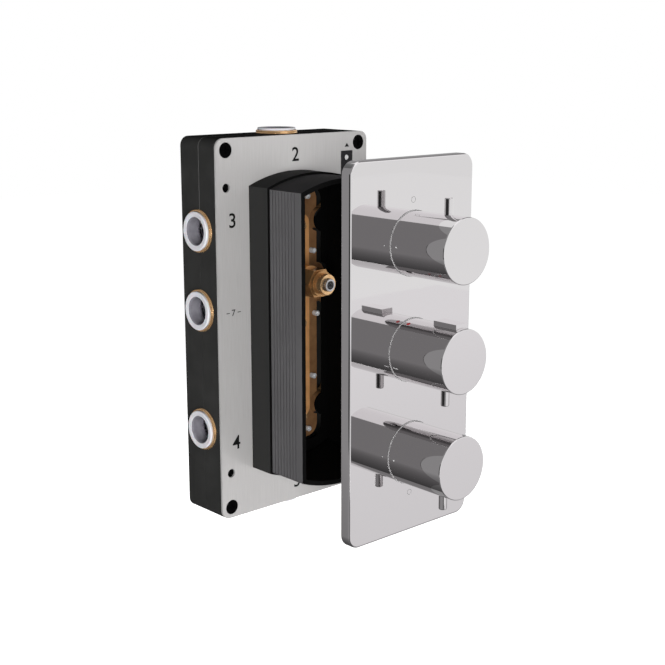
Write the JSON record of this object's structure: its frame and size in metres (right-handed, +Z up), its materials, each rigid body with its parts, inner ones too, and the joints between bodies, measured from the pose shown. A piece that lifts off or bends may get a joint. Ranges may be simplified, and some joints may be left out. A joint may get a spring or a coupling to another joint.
{
  "type": "thermostatic shower valve",
  "caption": "Concealed thermostatic shower valve: brass waterway with push-fit ports in a plastic box, plaster guard, chrome cover plate and control knobs.",
  "frame": {"origin": "middle of the box's back face, which meets the wall", "axes": "+X to the right seen from the front, +Y into the wall, +Z up; the knobs point along -Y"},
  "size_m": [0.1844, 0.2534, 0.3464],
  "materials": {
    "housing": "moulded black plastic, fine texture",
    "plate_steel": "satin sheet steel",
    "black_screws": "black coated screws",
    "strip": "dark plastic with white dots",
    "guard": "moulded black plastic",
    "cast_brass": "raw cast brass",
    "turned_brass": "machined brass",
    "screw_steel": "zinc plated steel",
    "rubber": "black rubber",
    "collet": "white acetal",
    "spring_steel": "stainless spring steel",
    "cage": "natural acetal",
    "poppet": "white acetal",
    "wax": "copper cup",
    "spool": "stainless steel",
    "ceramic": "polished ceramic",
    "spindle_steel": "stainless steel",
    "chrome": "polished chrome plate",
    "foam": "closed-cell foam",
    "bush": "natural acetal",
    "button": "polished chrome plate"
  },
  "bodies": {
    "rough_box": {"rear_housing": "housing", "front_housing": "housing", "mounting_plate": "plate_steel", "plate_screws": "black_screws", "setting_strip": "strip", "guard_collar": "guard", "guard_sleeve": "guard", "manifold_body": "cast_brass", "manifold_gasket": "rubber", "manifold_cover": "cast_brass", "manifold_screws": "screw_steel", "port_sockets": "turned_brass", "grab_rings": "spring_steel", "pipe_seals": "rubber", "inlet_strainers": "spring_steel", "check_cages": "cage", "hot_check_spring": "spring_steel", "cold_check_spring": "spring_steel", "thermostat_body": "turned_brass", "return_spring": "spring_steel", "top_valve_body": "turned_brass", "top_fixed_disc": "ceramic", "bottom_valve_body": "turned_brass", "bottom_fixed_disc": "ceramic", "cartridge_nuts": "turned_brass", "isolator_bonnet": "cast_brass", "gland_nut": "turned_brass"},
    "trim": {"cover_plate": "chrome", "cover_seal": "foam", "guide_bushes": "bush"},
    "top_control": {"top_knob": "chrome", "top_lever_pin": "chrome", "top_extension": "spindle_steel"},
    "temperature_control": {"temperature_knob": "chrome", "temperature_lever_pin": "chrome", "temperature_extension": "spindle_steel", "button_spring": "spring_steel"},
    "bottom_control": {"bottom_knob": "chrome", "bottom_lever_pin": "chrome", "bottom_extension": "spindle_steel"},
    "button": {"safety_button": "button"},
    "thermostat_drive": {"thermostat_spindle": "turned_brass"},
    "thermostat_slider": {"wax_element": "wax", "regulating_spool": "spool"},
    "top_valve": {"top_valve_spindle": "turned_brass", "top_moving_disc": "ceramic"},
    "bottom_valve": {"bottom_valve_spindle": "turned_brass", "bottom_moving_disc": "ceramic"},
    "isolator": {"isolator_spindle": "spindle_steel"},
    "collet_1_ring": {"collet_1": "collet"},
    "collet_2_ring": {"collet_2": "collet"},
    "collet_3_ring": {"collet_3": "collet"},
    "collet_4_ring": {"collet_4": "collet"},
    "collet_5_ring": {"collet_5": "collet"},
    "collet_6_ring": {"collet_6": "collet"},
    "collet_hot_ring": {"collet_hot": "collet"},
    "collet_cold_ring": {"collet_cold": "collet"},
    "hot_check": {"hot_check_poppet": "poppet"},
    "cold_check": {"cold_check_poppet": "poppet"}
  },
  "joints": [
    {"name": "trim_slide", "type": "slide", "parent": "rough_box", "child": "trim", "axis": [0, 1, 0], "range_m": [0, 0.0695]},
    {"name": "top_knob_turn", "type": "hinge", "parent": "trim", "child": "top_control", "pos_m": [0, -0.2, 0.088], "axis": [0, 1, 0], "range_deg": [-90, 90]},
    {"name": "temperature_knob_turn", "type": "hinge", "parent": "trim", "child": "temperature_control", "pos_m": [0, -0.2, 0], "axis": [0, 1, 0], "range_deg": [-150, 45]},
    {"name": "bottom_knob_turn", "type": "hinge", "parent": "trim", "child": "bottom_control", "pos_m": [0, -0.2, -0.088], "axis": [0, 1, 0], "range_deg": [-90, 90]},
    {"name": "safety_button_press", "type": "slide", "parent": "temperature_control", "child": "button", "axis": [0, 0, -1], "range_m": [0, 0.002], "stiffness_N_per_m": 400, "deforming": ["button_spring"]},
    {"name": "thermostat_spindle_turn", "type": "hinge", "parent": "rough_box", "child": "thermostat_drive", "pos_m": [0, -0.05, 0], "axis": [0, 1, 0], "range_deg": [-152, 47]},
    {"name": "thermostat_spool_slide", "type": "slide", "parent": "rough_box", "child": "thermostat_slider", "axis": [0, 1, 0], "range_m": [-0.0003, 0.0009], "deforming": ["return_spring"]},
    {"name": "top_valve_turn", "type": "hinge", "parent": "rough_box", "child": "top_valve", "pos_m": [0, -0.05, 0.088], "axis": [0, 1, 0], "range_deg": [-91, 91]},
    {"name": "bottom_valve_turn", "type": "hinge", "parent": "rough_box", "child": "bottom_valve", "pos_m": [0, -0.05, -0.088], "axis": [0, 1, 0], "range_deg": [-91, 91]},
    {"name": "isolator_turn", "type": "hinge", "parent": "rough_box", "child": "isolator", "pos_m": [0, -0.08, 0.04], "axis": [0, 1, 0], "range_deg": [0, 90]},
    {"name": "collet_1_press", "type": "slide", "parent": "rough_box", "child": "collet_1_ring", "axis": [1, 0, 0], "range_m": [0, 0.0015], "stiffness_N_per_m": 500},
    {"name": "collet_2_press", "type": "slide", "parent": "rough_box", "child": "collet_2_ring", "axis": [0, 0, -1], "range_m": [0, 0.0015], "stiffness_N_per_m": 500},
    {"name": "collet_3_press", "type": "slide", "parent": "rough_box", "child": "collet_3_ring", "axis": [-1, 0, 0], "range_m": [0, 0.0015], "stiffness_N_per_m": 500},
    {"name": "collet_4_press", "type": "slide", "parent": "rough_box", "child": "collet_4_ring", "axis": [-1, 0, 0], "range_m": [0, 0.0015], "stiffness_N_per_m": 500},
    {"name": "collet_5_press", "type": "slide", "parent": "rough_box", "child": "collet_5_ring", "axis": [0, 0, 1], "range_m": [0, 0.0015], "stiffness_N_per_m": 500},
    {"name": "collet_6_press", "type": "slide", "parent": "rough_box", "child": "collet_6_ring", "axis": [1, 0, 0], "range_m": [0, 0.0015], "stiffness_N_per_m": 500},
    {"name": "collet_hot_press", "type": "slide", "parent": "rough_box", "child": "collet_hot_ring", "axis": [1, 0, 0], "range_m": [0, 0.0015], "stiffness_N_per_m": 500},
    {"name": "collet_cold_press", "type": "slide", "parent": "rough_box", "child": "collet_cold_ring", "axis": [-1, 0, 0], "range_m": [0, 0.0015], "stiffness_N_per_m": 500},
    {"name": "hot_check_open", "type": "slide", "parent": "rough_box", "child": "hot_check", "axis": [1, 0, 0], "range_m": [0, 0.0025], "stiffness_N_per_m": 60, "deforming": ["hot_check_spring"]},
    {"name": "cold_check_open", "type": "slide", "parent": "rough_box", "child": "cold_check", "axis": [-1, 0, 0], "range_m": [0, 0.0025], "stiffness_N_per_m": 60, "deforming": ["cold_check_spring"]}
  ],
  "couplings": [
    {"joint": "thermostat_spindle_turn", "follows": "temperature_knob_turn", "ratio": 1},
    {"joint": "thermostat_spool_slide", "follows": "temperature_knob_turn", "m_per_rad": -0.000318},
    {"joint": "top_valve_turn", "follows": "top_knob_turn", "ratio": 1},
    {"joint": "bottom_valve_turn", "follows": "bottom_knob_turn", "ratio": 1}
  ]
}
